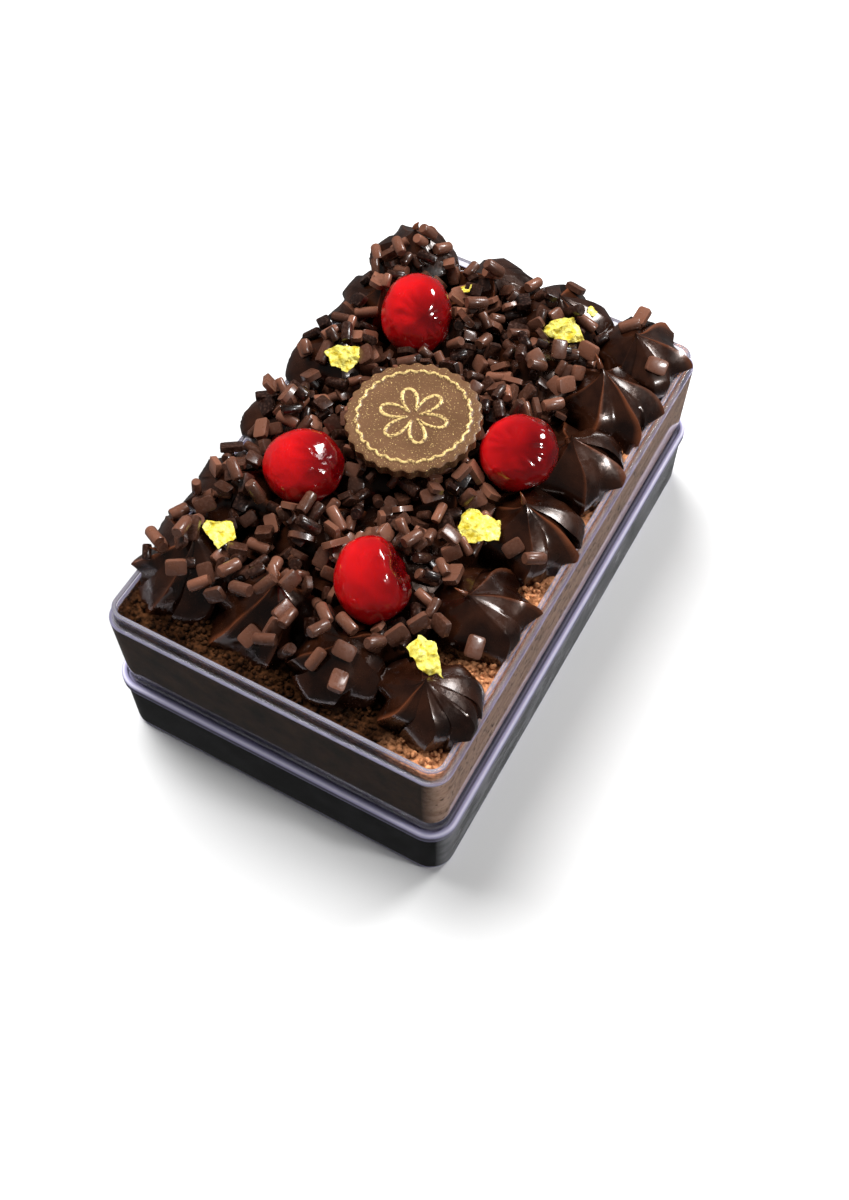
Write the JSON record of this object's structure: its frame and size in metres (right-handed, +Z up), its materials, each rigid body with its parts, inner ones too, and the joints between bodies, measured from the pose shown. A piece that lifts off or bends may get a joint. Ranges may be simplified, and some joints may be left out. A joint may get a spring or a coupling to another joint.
{
  "type": "boxed chocolate cake",
  "caption": "Chocolate cake in a clear tub on its upturned lid, with piped ganache stars, sprinkles, candied cherries, a chocolate coin and gold leaf.",
  "frame": {"origin": "middle of the lid's flat underside, on which the box stands", "axes": "+Z up; +Y along the length of the box, from its front end to its back end; +X to the right as the front end is looked at"},
  "size_m": [0.1034, 0.1598, 0.0776],
  "materials": {
    "smoky_plastic": "clear moulded plastic that looks smoky grey, glossy, with bright edges",
    "clear_plastic": "clear moulded plastic with a faint violet tint at its edges, glossy",
    "crumb": "moist brown sponge crumb, matte and porous",
    "ganache": "piped dark chocolate ganache, smooth and satin to glossy, with sprinkles on it",
    "candied_cherry": "syrup-coated red cherry, translucent and very glossy",
    "milk_chocolate": "moulded milk chocolate, satin, dusted with fine gold",
    "gold_leaf": "torn edible gold leaf, crumpled and bright"
  },
  "bodies": {
    "root": {"tray": "smoky_plastic", "tub": "clear_plastic", "sponge": "crumb", "sprinkle_bed": "ganache", "coin": "milk_chocolate", "star_back_1": "ganache", "star_back_2": "ganache", "star_back_3": "ganache", "star_back_4": "ganache", "star_left_2": "ganache", "star_left_3": "ganache", "star_left_4": "ganache", "star_left_5": "ganache", "star_right_2": "ganache", "star_right_3": "ganache", "star_right_4": "ganache", "star_right_5": "ganache", "star_front_1": "ganache", "star_front_2": "ganache", "star_front_3": "ganache", "star_front_4": "ganache", "cherry_back": "candied_cherry", "cherry_left": "candied_cherry", "cherry_right": "candied_cherry", "cherry_front": "candied_cherry", "leaf_back": "gold_leaf", "leaf_left": "gold_leaf", "leaf_corner": "gold_leaf", "leaf_right": "gold_leaf", "leaf_front": "gold_leaf"}
  },
  "joints": []
}
